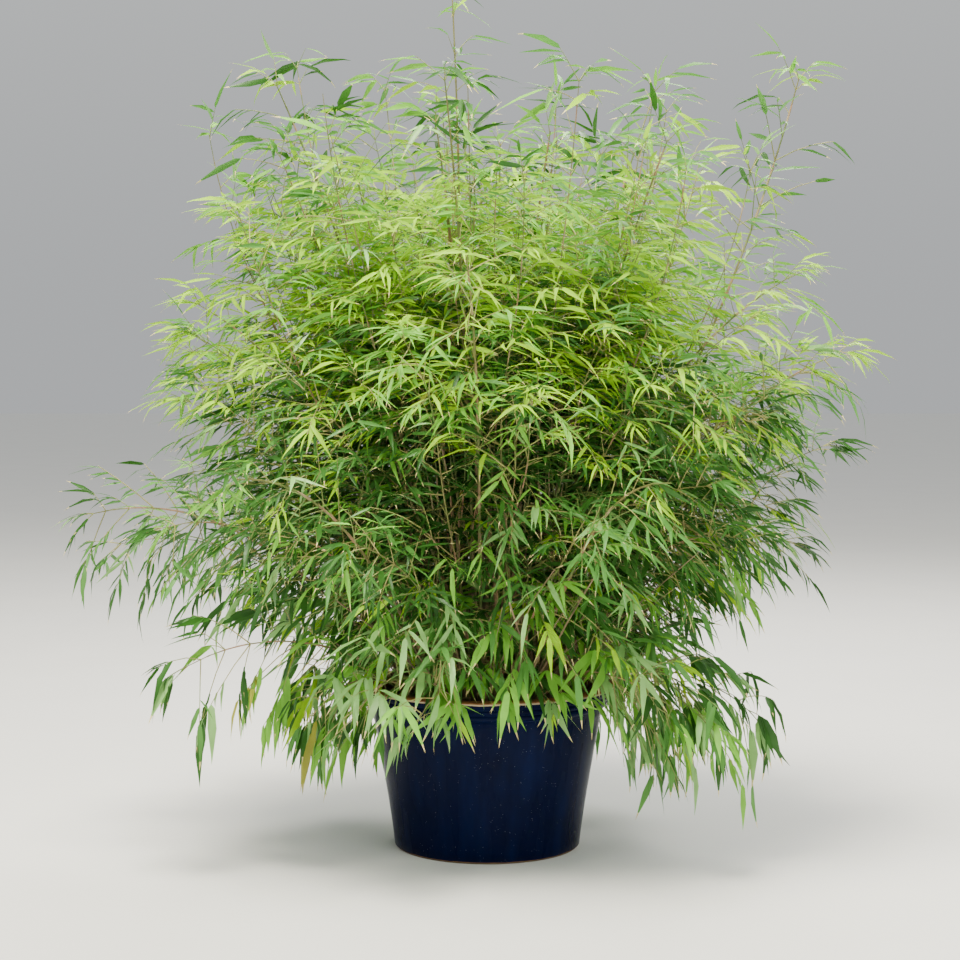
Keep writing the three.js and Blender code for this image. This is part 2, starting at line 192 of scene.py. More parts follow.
TWIG_OPENING = ((34, 26), (76, 68))  # least and most degrees, each under the top and at it
END_OPENING = ((2, 16), (34, 58))  # the same for the twigs at a cane's tip
TWIG_TRIES = (1, 0.7, 0.45)  # shares of its length that a twig is tried at
TWIG_SPLIT = 0.85  # the height where the twigs' upper piece begins
BLADE_ROWS = (0, 0.09, 0.42, 0.83, 1)  # shares of a leaf's length
TIP_ROW = 3  # past this row a leaf's tip may be dry
LITTER = 170  # fallen leaves

# The room that twigs and leaves keep to
POT_ROOM = 0.006
FLOOR_ROOM = 0.06
FRONT_FLOOR = 0.255  # leaves in front of the pot end about at its lip
STRAY_SHARE = 0.1  # share of the sprays there that hang lower
STRAY_FLOOR = 0.165

# Where the leaves are fewer and the canes show, low in the clump's front, above that, and all
# round at the top: the middle's azimuth, the half width in degrees, the lower and upper edge, and
# the share of sprays left out
WINDOWS = (
    (276, 30, 0.54, 0.9, 0.56),
    (272, 36, 0.9, 1.28, 0.24),
    (0, 181, 1.33, 2, 0.34),
)

# The leaf tints: piece, material, gloss, and its share of the sprays low, halfway up, high, at the top
# and deep in the crown. Then the heights between which one share gives way to the next. Besides
# the yellow, they are lighter and darker greens dealt out as painted light and painted shade.
TINTS = (
    ("leaves_lit", "lit_leaf", 0.1, 0.09, 0.04, 0.56, 0.15, 0.02),
    ("leaves_fresh", "fresh_leaf", 0.14, 0.31, 0.16, 0.32, 0.25, 0.07),
    ("leaves_green", "green_leaf", 0.32, 0.19, 0.4, 0.08, 0.35, 0.3),
    ("leaves_deep", "deep_leaf", 0.34, 0.02, 0.33, 0, 0.2, 0.57),
    ("leaves_cool", "cool_leaf", 0.46, 0.385, 0.066, 0.037, 0.047, 0.035),
    ("leaves_yellow", "yellow_leaf", 0.3, 0.005, 0.004, 0.003, 0.003, 0.005),
)
TINT_HALFWAY = (0.38, 0.7)
TINT_HIGH = (0.72, 1.04)
TINT_TOP = (1.28, 1.5)
# Painted shade: sprays inside the crown's bulk, and many on its lower flanks, take the dark tints.
CROWN_REACH = 0.66  # the crown's rounded bulk: radius, height of its middle, half height
CROWN_MIDDLE = 0.8
CROWN_RISE = 0.72
TINT_OUTER = (0.32, 0.78)  # shares of that bulk where the deep tints give way
SHADY_SHARE = 0.75  # of the lower flanks' sprays, which take the tints of the shade
FLANK_SIDE = (0.2, 0.45)  # how far out the flanks begin
FLANK_TOP = (0.86, 1.06)  # and the heights where they end

# Name, place, diameter, power and colour of each light
LIGHTS = (
    ("key", (-0.7, -1.6, 5.8), 2.4, 960, (1, 0.95, 0.8)),
    ("fill", (2.4, -4.4, 2.6), 3.6, 120, (0.97, 0.97, 0.94)),
    ("back", (1.2, 3.4, 4.2), 2.6, 240, (1, 0.98, 0.92)),
)
LIGHTS_AIM = (0, 0, 0.8)
CAMERA_PLACE = (-0.015, -4.368, 1.035)
CAMERA_DIP = 3.54  # degrees under level


class PotSettings(PropertyGroup):
    """The glazed pot."""

    glaze: FloatVectorProperty(
        name="Glaze", description="Colour of the glaze", subtype="COLOR", default=(0.0014, 0.0036, 0.021)
    )
    clay: FloatVectorProperty(
        name="Clay", description="Colour of the bare fired clay", subtype="COLOR", default=(0.42, 0.17, 0.08)
    )
    edge: FloatVectorProperty(
        name="Glaze edge", description="Colour of the thin line where the glaze ends", subtype="COLOR",
        default=(0.55, 0.42, 0.28),
    )
    groove_depth: FloatProperty(
        name="Groove depth", description="Depth of the two grooves round the lip", unit="LENGTH",
        default=0.003,
    )
    bare_foot: FloatProperty(
        name="Bare foot", description="Height of the unglazed line at the foot", unit="LENGTH", default=0.004
    )


class CaneSettings(PropertyGroup):
    """The canes and their twigs."""

    companions: IntProperty(
        name="Companions", description="Thinner canes that grow beside each main cane",
        default=4, min=0, max=6,
    )
    foot_radius: FloatProperty(
        name="Foot radius", description="Radius of a main cane at the soil", unit="LENGTH", default=0.0043
    )
    tip_radius: FloatProperty(
        name="Tip radius", description="Radius of a main cane at its tip", unit="LENGTH", default=0.0016
    )
    joint_spacing: FloatProperty(
        name="Joint spacing", description="Length between two joints of a cane", unit="LENGTH", default=0.088
    )
    skin: FloatVectorProperty(
        name="Skin", description="Colour of a ripe cane", subtype="COLOR", default=(0.21, 0.19, 0.06)
    )
    sheath: FloatVectorProperty(
        name="Sheath", description="Colour of the papery sheaths", subtype="COLOR", default=(0.36, 0.2, 0.11)
    )
    twig: FloatVectorProperty(
        name="Twig", description="Colour of the twigs", subtype="COLOR", default=(0.38, 0.35, 0.11)
    )


class LeafSettings(PropertyGroup):
    """The leaves."""

    length: FloatProperty(
        name="Length", description="Length of an average leaf", unit="LENGTH", default=0.078
    )
    slenderness: FloatProperty(
        name="Slenderness", description="Length of a leaf over its width", default=7.7, min=3
    )
    twig_length: FloatProperty(
        name="Twig length", description="Length of the longest twigs", unit="LENGTH", default=0.19
    )
    dry_share: FloatProperty(
        name="Dry tips", description="Share of the leaves whose tips have dried", subtype="FACTOR",
        default=0.5,
    )
    # Painted light: the lit green is a lighter copy of the leaf green, dealt to the sprays high in the crown
    # where the key light falls.
    lit: FloatVectorProperty(
        name="Lit green", description="Colour of young sunny leaves", subtype="COLOR",
        default=(0.38, 0.67, 0.022),
    )
    # Partly painted light: this lighter green gives the leaves variety, and it is dealt mostly low down and
    # high in the crown, where light falls, and little deep inside.
    fresh: FloatVectorProperty(
        name="Fresh green", description="Colour of full-grown leaves", subtype="COLOR",
        default=(0.205, 0.5, 0.056),
    )
    green: FloatVectorProperty(
        name="Green", description="Colour of most leaves", subtype="COLOR", default=(0.1, 0.29, 0.052)
    )
    # Painted shade: the deep green is a darker copy of the leaf green for the sprays where shade falls, deep
    # inside the crown, halfway up, among the top sprays and on the lower flanks.
    deep: FloatVectorProperty(
        name="Deep green", description="Colour of old leaves", subtype="COLOR", default=(0.034, 0.125, 0.016)
    )
    # Partly painted sheen: the bluish glaucous green of the low leaves, made paler to stand in for the sheen
    # of the bright sky on them.
    cool: FloatVectorProperty(
        name="Cool green", description="Colour of the bluish leaves low down", subtype="COLOR",
        default=(0.26, 0.51, 0.145),
    )
    yellow: FloatVectorProperty(
        name="Yellow", description="Colour of yellowing leaves", subtype="COLOR", default=(0.48, 0.48, 0.06)
    )
    dry: FloatVectorProperty(
        name="Dry", description="Colour of dried tips and litter", subtype="COLOR", default=(0.8, 0.67, 0.29)
    )


def chance(n, k):
    """A repeatable number from 0 to 1 for item n and choice k."""
    return sin(n * 12.9898 + k * 78.233) * 43758.5453 % 1


def swing(n, k):
    """A repeatable number from -1 to 1 for item n and choice k."""
    return 2 * chance(n, k) - 1


def mix(a, b, share):
    return a + (b - a) * share


def smoothstep(x, low, high):
    t = min(max((x - low) / (high - low), 0), 1)
    return t * t * (3 - 2 * t)


def zones(height):
    """How far a height is from low down to high up, and on to the top, each from 0 to 1."""
    return smoothstep(height, HANG_BELOW, RISE_ABOVE), smoothstep(height, TOP_FROM, TOP_AT)


def by_height(values, up, top):
    """A mix of three values, for low down, high up and the top."""
    low, high, at_top = values
    return mix(mix(low, high, up), at_top, top)


def unit(vector, spare):
    """A vector's direction, or a spare one's where it has no length."""
    return (vector if vector.length > 1e-6 else spare).normalized()


class CaneRun:
    """A cane's whole run, out of the soil and over to its tip, read by share of its length."""

    SAMPLES = 96

    def __init__(self, shape, n, girth, whip=False, main=False):
        self.girth, self.whip, self.main = girth, whip, main
        turn = radians(shape["azimuth"])
        outward = Vector((cos(turn), sin(turn), 0))
        foot = outward * shape["foot"] + UP * SOIL_TOP
        tip = outward * shape["reach"] + UP * shape["height"]
        bow = BOW * (tip - foot).length
        aside = UP.cross(outward)
        sway = aside * SWAY * swing(n, 4)
        wander = shape.get("wander", 0) * mix(0.5, 1.5, chance(n, 5))
        phase = tau * chance(n, 6)

        def tangent(angle):
            return (outward * sin(angle) + UP * cos(angle)) * bow

        lean = tangent(radians(shape["lean"]))
        tilt = tangent(radians(shape["tilt"]))
        points = []
        for i in range(self.SAMPLES + 1):
            t = i / self.SAMPLES
            rise = 3 * t**2 - 2 * t**3
            waver = aside * wander * sin(phase + 8 * t) * sin(pi * t)
            points.append(
                foot * (1 - rise) + lean * (t**3 - 2 * t**2 + t)
                + tip * rise + tilt * (t**3 - t**2) + sway * rise + waver
            )
        self.points = np.array(points)
        steps = np.linalg.norm(np.diff(self.points, axis=0), axis=1)
        self.marks = np.concatenate([[0], np.cumsum(steps)])
        self.length = self.marks[-1]
        self.bare = shape["bare"]

    def at(self, share):
        mark = share * self.length
        return Vector([np.interp(mark, self.marks, self.points[:, i]) for i in range(3)])

    def along(self, share):
        near, far = max(share - 0.01, 0), min(share + 0.01, 1)
        return (self.at(far) - self.at(near)).normalized()


def ring_shapes(rings, first):
    """The shapes of the canes in some rings, numbered from first for their chances."""
    shapes = []
    for row in rings:
        ring = dict(zip(RING_KEYS, row))
        for i in range(ring["count"]):
            n = first + len(shapes)
            shapes.append({
                **ring,
                "azimuth": ring["turn"] + ring["span"] * i / ring["count"] + RING_TURN_SPREAD * swing(n, 1),
                "reach": ring["reach"] * (1 + RING_REACH_SPREAD * swing(n, 2)),
                "height": ring["height"] * (1 + RING_HEIGHT_SPREAD * swing(n, 3)),
            })
    return shapes


def grown(shape):
    """A cane's shape with its fine end added, straight on from its tip."""
    tilt = radians(shape["tilt"])
    growth = shape.get("growth", TIP_GROWTH)
    return {
        **shape,
        "reach": shape["reach"] + growth * sin(tilt),
        "height": shape["height"] + growth * cos(tilt),
    }


def beside(shape, n, k):
    """The shape of the k-th thinner cane beside main cane n. The first two keep close to it."""
    side = (1 if k % 2 else -1) * (1 + k // 2)
    deep = k >= 2
    return {
        **shape,
        "azimuth": shape["azimuth"] + side * (9 + 9 * chance(n, 20 + k)),
        "foot": abs(shape["foot"] + 0.02 * swing(n, 30 + k)),
        "reach": shape["reach"] * (mix(0.84, 0.52, deep) + mix(0.18, 0.24, deep) * chance(n, 40 + k)),
        "height": mix(SOIL_TOP, shape["height"], 0.72 + 0.26 * chance(n, 50 + k)),
        "bare": shape["bare"] * (0.72 + 0.25 * chance(n, 60 + k)),
        "tilt": shape["tilt"] * mix(1, 0.8, deep),
        "wander": WANDER,
    }


def lay_out_canes(companions):
    """Every cane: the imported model's by its own rule, their companions, the thin ones and the whips."""
    shoots = [dict(zip(SHOOT_KEYS, row)) for row in LONG_SHOOTS]
    canes = []
    for n, shape in enumerate((*ring_shapes(RINGS, 0), *shoots)):
        shape = grown(shape)
        girth, whip = shape.get("girth", 1), shape.get("whip", False)
        canes.append(CaneRun(shape, n, girth, whip, main=True))
        for k in range(shape.get("companions", companions)):
            girth = mix(*BESIDE_GIRTHS, chance(n, 70 + k))
            canes.append(CaneRun(beside(shape, n, k), n + 100 * (k + 1), girth))
    for i, shape in enumerate(ring_shapes(THIN_RINGS, 600)):
        girth = mix(*THIN_GIRTHS, chance(i, 80))
        canes.append(CaneRun({**shape, "wander": WANDER}, 800 + i, girth))
    for i, (azimuth, reach, height) in enumerate(WHIPS):
        shape = {**WHIP_SHAPE, "azimuth": azimuth, "reach": reach, "height": height}
        canes.append(CaneRun(shape, 900 + i, WHIP_GIRTH, whip=True))
    return canes


class Twig:
    """A twig that leaves its cane at a turn of its own, opens away from it and sags."""

    def __init__(self, cane, share, turn, opening, length, sag):
        self.root = cane.at(share)
        along = cane.along(share)
        across = unit(Vector((-sin(turn), cos(turn), 0)).cross(along), along.orthogonal())
        self.direction = along * cos(opening) + across * sin(opening)
        self.drop = UP * -sag
        self.length = length

    def at(self, share):
        return self.root + (self.direction * share + self.drop * share**2) * self.length

    def along(self, share):
        return (self.direction + self.drop * 2 * share).normalized()


class Crown:
    """The twigs and leaves that grow on the canes."""

    def __init__(self, canes, settings):
        self.dice = random.Random(41)
        self.settings = settings
        self.twigs, self.leaves = [], []
        self.stray = False
        for n, cane in enumerate(canes):
            self.dress(n, cane)

    def dress(self, n, cane):
        """Sets twigs round a cane's leafy part, and three more at its tip."""
        dice = self.dice
        leafy = cane.length * (1 - cane.bare)
        places = max(4, round(leafy / (WHIP_TWIG_GAP if cane.whip else TWIG_GAP)))
        for j in range(places):
            up = (j + 0.4) / places
            share = mix(cane.bare, 1, up)
            high, top = zones(cane.at(share).z)
            for k in range(2 if cane.whip or up > 0.8 else 3):
                turn = radians(GOLDEN_TURN) * (j * 3 + k) + n
                length = self.settings.twig_length * mix(1, 0.55, up**1.5) * dice.uniform(0.4, 1.15)
                if cane.whip:
                    length *= WHIP_TWIG_SHARE
                opening = self.opening(TWIG_OPENING, top)
                sag = mix(*TWIG_SAGS, high) * dice.uniform(0.6, 1.5)
                self.spray(Twig(cane, share, turn, opening, length, sag), up)
        for k in range(3):
            opening = self.opening(END_OPENING, top)
            self.spray(Twig(cane, 0.995, 2.1 * k + n, opening, dice.uniform(0.03, 0.08), 0.1), 1)

    def opening(self, spans, top):
        """A chance angle between two limits, each of which changes towards the top."""
        least, most = (mix(*span, top) for span in spans)
        return radians(self.dice.uniform(least, most))

    def spray(self, twig, up):
        """A twig with its leaves, all of one tint: along it high up, and low down as a fan at its end."""
        dice = self.dice
        self.stray = dice.random() < STRAY_SHARE
        if not self.made_to_fit(twig) or self.left_out(twig.at(0.7)):
            return
        high, top = zones(twig.root.z)
        count = dice.choice(SPRAY_COUNTS) + round(high) - 2 * round(top)
        tint = self.deal_tint(twig.at(0.7))
        first = mix(dice.uniform(0.55, 0.8), dice.uniform(0.25, 0.5), high)
        stations = [mix(first, 0.98, i / (count - 1)) for i in range(count)]
        size = mix(*LEAF_SIZES, high) * mix(1, TIP_LEAF_SIZE, up) * mix(1, TOP_LEAF_SIZE, top)
        kept = 0
        for i, station in enumerate(stations):
            side = 0 if i == count - 1 else (1 if i % 2 else -1)
            kept += self.leaf(twig, station, side, tint, size)
        if kept:
            self.twigs.append(twig)

    def made_to_fit(self, twig):
        """Shortens a twig until it is clear of the pot and the floor; false if it never is."""
        length = twig.length
        for share in TWIG_TRIES:
            twig.length = length * share
            if all(self.has_room(twig.at(mark)) for mark in (0.3, 0.65, 1)):
                return True
        return False

    def left_out(self, point):
        """Whether a spray is among those that are missing where the canes show."""
        turn = degrees(atan2(point.y, point.x))
        for azimuth, spread, low, high, share in WINDOWS:
            aside = abs((turn - azimuth + 180) % 360 - 180)
            if aside < spread and low < point.z < high:
                return self.dice.random() < share
        return False

    def deal_tint(self, point):
        """A tint for a spray, as painted light and shade: sunny ones high in the crown, cool ones low, and
        dark ones as painted shade deep inside and on the shady flanks.
        """
        half = smoothstep(point.z, *TINT_HALFWAY)
        high = smoothstep(point.z, *TINT_HIGH)
        top = smoothstep(point.z, *TINT_TOP)
        aside, rise = hypot(point.x, point.y), point.z - CROWN_MIDDLE
        outer = smoothstep(hypot(aside / CROWN_REACH, rise / CROWN_RISE), *TINT_OUTER)
        flank = smoothstep(abs(point.x), *FLANK_SIDE) * (1 - smoothstep(point.z, *FLANK_TOP))
        outer *= 1 - SHADY_SHARE * flank
        draw = self.dice.random()
        for index, (_, _, _, at_foot, halfway, upper, at_top, deep) in enumerate(TINTS):
            draw -= mix(deep, by_height((mix(at_foot, halfway, half), upper, at_top), high, top), outer)
            if draw < 0:
                return index
        return 2  # green, should the shares add up to less than one

    def has_room(self, point):
        """Whether a point is clear of the pot and the floor, and within the plant's reach."""
        low, high = CAD_BOX
        radius = hypot(point.x, point.y)
        facing = smoothstep(-point.y / max(radius, 1e-6), 0.45, 0.8)
        floor = mix(FLOOR_ROOM, STRAY_FLOOR if self.stray else FRONT_FLOOR, facing)
        if not (low[0] < point.x < high[0] and low[1] < point.y < high[1] and floor <= point.z <= high[2]):
            return False
        if radius < POT_RADIUS + POT_ROOM and point.z < POT_HEIGHT + POT_ROOM:
            inside = radius < SHOULDER_RADIUS - POT_WALL - POT_ROOM
            return inside and point.z > SOIL_TOP + POT_ROOM
        return True

    def leaf(self, twig, station, side, tint, size):
        """Adds a leaf at a twig's side or end, and returns how many: 1, or 0 if there is no room."""
        dice = self.dice
        tangent = twig.along(station)
        across = unit(tangent.cross(UP), Vector((1, 0, 0)))
        opening = radians(dice.uniform(*LEAF_OPENING))
        root = twig.at(station)
        up, top = zones(root.z)
        weight = by_height(LEAF_WEIGHTS, up, top) * dice.uniform(0.35, 1.7)
        direction = tangent * cos(opening) + across * side * sin(opening) - UP * weight
        direction += Vector([dice.uniform(-LEAF_STRAY, LEAF_STRAY) for _ in range(3)])
        direction.z *= by_height(LEAF_RISES, up, top)
        direction.normalize()
        length = self.settings.length * size * min(max(dice.gauss(1, 0.24), 0.5), 1.5)
        arch = dice.uniform(0.15, 0.95) * mix(0.55, 1, abs(direction.x) + abs(direction.y))
        tip = root + direction * length * 0.95 - UP * arch * length * 0.3
        if not (self.has_room(tip) and self.has_room(root + direction * length * 0.5)):
            return 0
        flat = unit(UP.cross(direction), Vector((1, 0, 0)))
        roll = Matrix.Rotation(dice.gauss(0, 0.55), 3, direction)
        slenderness = self.settings.slenderness * by_height(LEAF_SLIMNESS, up, top)
        self.leaves.append({
            "root": root,
            "direction": direction,
            "side": roll @ flat,
            "length": length,
            "width": length / slenderness * dice.uniform(0.85, 1.15),
            "arch": arch,
            "fold": radians(dice.uniform(8, 24)),
            "twist": dice.gauss(0, 0.5),
            "tint": tint,
            "dry": dice.random() < self.settings.dry_share,
        })
        return 1


def blade_template():
    """A leaf blade as (across, along) pairs and faces, and which of its faces are the tip's."""
    mesh = bmesh.new()
    bmesh.ops.create_grid(mesh, x_segments=2, y_segments=len(BLADE_ROWS) - 1, size=1)
    for vert in mesh.verts:
        row = round((vert.co.y + 1) / 2 * (len(BLADE_ROWS) - 1))
        vert.co.y = BLADE_ROWS[row]
    for end in (0, 1):
        row = [vert for vert in mesh.verts if abs(vert.co.y - end) < 1e-6]
        bmesh.ops.pointmerge(mesh, verts=row, merge_co=(0, end, 0))
    mesh.verts.index_update()
    across_along = np.array([(vert.co.x, vert.co.y) for vert in mesh.verts])
    faces = [[vert.index for vert in face.verts] for face in mesh.faces]
    mesh.free()
    tip = [min(across_along[i, 1] for i in face) > BLADE_ROWS[TIP_ROW] - 1e-6 for face in faces]
    return across_along, faces, tip


def blade_points(leaves, across_along):
    """Every leaf's blade, bent along its length, folded along its midrib and twisted."""
    def column(key):
        return np.array([leaf[key] for leaf in leaves], float)

    across, v = across_along[:, 0], across_along[:, 1]
    root, ahead, side = (column(key) for key in ("root", "direction", "side"))
    side -= ahead * np.sum(side * ahead, axis=1, keepdims=True)
    side /= np.linalg.norm(side, axis=1, keepdims=True)
    face = np.cross(ahead, side)
    sizes = (column(key)[:, None] for key in ("length", "width", "arch", "fold", "twist"))
    length, width, arch, fold, twist = sizes
    bend = arch * v[None, :]
    reach = (length * np.sin(bend) / arch)[..., None]
    drop = (length * (1 - np.cos(bend)) / arch)[..., None]
    ahead, side, face = ahead[:, None, :], side[:, None, :], face[:, None, :]
    centre = root[:, None, :] + reach * ahead - drop * face
    lifted = np.sin(bend)[..., None] * ahead + np.cos(bend)[..., None] * face
    turn = (twist * v[None, :])[..., None]
    edge = np.cos(turn) * side + np.sin(turn) * lifted
    normal = -np.sin(turn) * side + np.cos(turn) * lifted
    profile = np.sin(np.pi * np.clip(v, 0, 1) ** 0.6) ** (0.8 + 0.6 * v)
    half = (width / 2 * profile[None, :])[..., None]
    reach_out = across[None, :, None]
    cos_fold, sin_fold = np.cos(fold)[..., None], np.sin(fold)[..., None]
    return centre + edge * reach_out * half * cos_fold + normal * np.abs(reach_out) * half * sin_fold


def joined_mesh(name, batches):
    """One mesh from batches of like shapes, each an array of shapes by points, and their faces."""
    points, corners, sizes, base = [], [], [], 0
    for shapes, faces in batches:
        count, size = shapes.shape[:2]
        flat = np.concatenate(faces)
        offsets = base + np.arange(count)[:, None] * size
        points.append(shapes.reshape(-1, 3))
        corners.append((flat[None, :] + offsets).ravel())
        sizes.append(np.tile([len(face) for face in faces], count))
        base += count * size
    points, corners, sizes = np.concatenate(points), np.concatenate(corners), np.concatenate(sizes)
    mesh = bpy.data.meshes.new(name)
    mesh.vertices.add(len(points))
    mesh.vertices.foreach_set("co", points.astype(np.float32).ravel())
    mesh.loops.add(len(corners))
    mesh.loops.foreach_set("vertex_index", corners.astype(np.int32))
    mesh.polygons.add(len(sizes))
    mesh.polygons.foreach_set("loop_start", np.concatenate([[0], np.cumsum(sizes)[:-1]]).astype(np.int32))
    mesh.polygons.foreach_set("use_smooth", np.ones(len(sizes), bool))
    mesh.update(calc_edges=True)
    mesh.validate()
    return mesh


def add_object(name, data):
    made = bpy.data.objects.new(name, data)
    bpy.context.scene.collection.objects.link(made)
    return made


def tube_mesh(name, strands, sides):
    """One mesh of tapering tubes, each strand a list of points with their radii."""
    curve = bpy.data.curves.new(name, "CURVE")
    curve.dimensions = "3D"
    curve.bevel_depth = 1
    curve.bevel_resolution = sides // 2 - 2
    curve.use_fill_caps = True
    for strand in strands:
        spline = curve.splines.new("POLY")
        spline.points.add(len(strand) - 1)
        spline.points.foreach_set("co", [x for point, _ in strand for x in (*point, 1)])
        spline.points.foreach_set("radius", [radius for _, radius in strand])
        spline.use_smooth = True
    holder = add_object(name, curve)
    graph = bpy.context.evaluated_depsgraph_get()
    mesh = bpy.data.meshes.new_from_object(holder.evaluated_get(graph))
    bpy.data.objects.remove(holder)
    bpy.data.curves.remove(curve)
    mesh.name = name
    return mesh


def finished(name, mesh):
    """A smooth mesh from a bmesh, with its faces outwards."""
    bmesh.ops.recalc_face_normals(mesh, faces=mesh.faces)
    for face in mesh.faces:
        face.smooth = True
    data = bpy.data.meshes.new(name)
    mesh.to_mesh(data)
    mesh.free()
    return data


def place(mesh, material, slot, *nodes):
    """A finished piece: its object at the origin, its material, its body and what it stands for."""
    piece = add_object(mesh.name, mesh)
    mesh.materials.append(material)
    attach(piece, "root")
    if nodes:
        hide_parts(*nodes)


class Shade:
    """A socket in a material, with Python's operators adding its Math nodes."""

    def __init__(self, paint, socket):
        self.paint = paint
        self.socket = socket

    def math(self, operation, *others):
        return self.paint.node("Math", {"operation": operation}, dict(enumerate((self, *others))))

    __add__ = __radd__ = partialmethod(math, "ADD")
    __sub__ = partialmethod(math, "SUBTRACT")
    __mul__ = partialmethod(math, "MULTIPLY")
    __truediv__ = partialmethod(math, "DIVIDE")
    __pow__ = partialmethod(math, "POWER")

    def __rsub__(self, other):
        return self.paint.node("Math", {"operation": "SUBTRACT"}, {0: other, 1: self})

    def step(self, low, high):
        """0 below low and 1 above high, with a smooth climb between."""
        inputs = {"Value": self, "From Min": low, "From Max": high}
        return self.paint.node("MapRange", {"interpolation_type": "SMOOTHSTEP"}, inputs)


class Paint:
    """A material under construction, or the world."""

    def __init__(self, owner, shader="Principled BSDF", space="Object"):
        owner.use_nodes = True
        self.owner = owner
        self.tree = owner.node_tree
        self.shader = self.tree.nodes[shader]
        self.place = self.node("TexCoord", {}, {}, space)

    def node(self, kind, settings, inputs, output=0):
        """A shader node with its settings made first, then its sockets' values or links."""
        made = self.tree.nodes.new("ShaderNode" + kind)
        for key, value in settings.items():
            setattr(made, key, value)
        for key, value in inputs.items():
            self.feed(made.inputs[key], value)
        return Shade(self, made.outputs[output])

    def feed(self, socket, value):
        if isinstance(value, Shade):
            self.tree.links.new(value.socket, socket)
        else:
            socket.default_value = value

    def set(self, **values):
        """Values or links for the shader's sockets, named with underscores."""
        for key, value in values.items():
            self.feed(self.shader.inputs[key.replace("_", " ")], value)

    def colour_mix(self, share, a, b):
        a, b = [(*c, 1) if not isinstance(c, Shade) else c for c in (a, b)]
        return self.node("Mix", {"data_type": "RGBA"}, {0: share, 6: a, 7: b}, 2)

    def noise(self, scale, detail=2, stretch=(1, 1, 1)):
        spot = self.node("Mapping", {}, {"Vector": self.place, "Scale": stretch})
        return self.node("TexNoise", {}, {"Vector": spot, "Scale": scale, "Detail": detail})

    def axes(self):
        split = self.node("SeparateXYZ", {}, {"Vector": self.place})
        return [Shade(self, socket) for socket in split.socket.node.outputs]

    def bump(self, height, strength, distance):
        made = {"Height": height, "Strength": strength, "Distance": distance}
        self.set(Normal=self.node("Bump", {}, made))

    def see_through(self, share, colour):
        """Lets some light through to the far side of a thin blade."""
        glow = self.node("BsdfTranslucent", {}, {"Color": (*colour, 1)})
        body = Shade(self, self.shader.outputs[0])
        both = self.node("MixShader", {}, {0: share, 1: body, 2: glow})
        self.tree.links.new(both.socket, self.tree.nodes["Material Output"].inputs["Surface"])


def new_paint(name):
    return Paint(bpy.data.materials.new(name))


def dim(colour, share):
    return tuple(c * share for c in colour)


def leaf_paint(name, colour, gloss):
    """A satin leaf: its green drifts a little from place to place, and light comes through it."""
    paint = new_paint(name)
    drift = paint.noise(9, 3).step(0.35, 0.65)
    fine = paint.noise(70, 2).step(0.3, 0.7)
    tone = paint.colour_mix(drift, dim(colour, 0.78), dim(colour, 1.16))
    tone = paint.colour_mix(fine * 0.22, tone, dim(colour, 0.7))
    paint.set(Base_Color=tone, Roughness=0.38 + fine * 0.12, Specular_IOR_Level=gloss)
    paint.bump(paint.noise(240, 1), 0.12, 0.0006)
    paint.see_through(0.3, colour)
    return paint.owner


def dry_paint(name, colour):
    """Dried leaf: straw with darker flecks."""
    paint = new_paint(name)
    fleck = paint.noise(60, 3).step(0.4, 0.7)
    tone = paint.colour_mix(fleck, colour, dim(colour, 0.68))
    paint.set(Base_Color=tone, Roughness=0.75)
    paint.bump(paint.noise(300, 2), 0.25, 0.0006)
    paint.see_through(0.2, colour)
    return paint.owner


def cane_paint(name, colour, young):
    """Cane skin: smooth and satin, streaked along its length, greener where it is young."""
    paint = new_paint(name)
    streak = paint.noise(60, 3, (1, 1, 0.08)).step(0.3, 0.7)
    patch = paint.noise(7, 2).step(0.42, 0.6)
    tone = paint.colour_mix(patch, colour, young)
    tone = paint.colour_mix(streak * 0.5, tone, dim(colour, 0.5))
    paint.set(Base_Color=tone, Roughness=0.42 + streak * 0.2)
    paint.bump(streak, 0.25, 0.0004)
    return paint.owner


def soil_paint():
    paint = new_paint("potting_soil")
    clod = paint.noise(55, 6)
    grain = paint.noise(420, 4)
    tone = paint.colour_mix(clod.step(0.35, 0.7), (0.012, 0.008, 0.005), (0.06, 0.036, 0.021))
    tone = paint.colour_mix(grain.step(0.62, 0.7), tone, (0.16, 0.11, 0.07))
    paint.set(Base_Color=tone, Roughness=0.95)
    paint.bump(clod * 0.6 + grain * 0.4, 0.8, 0.004)
    return paint.owner


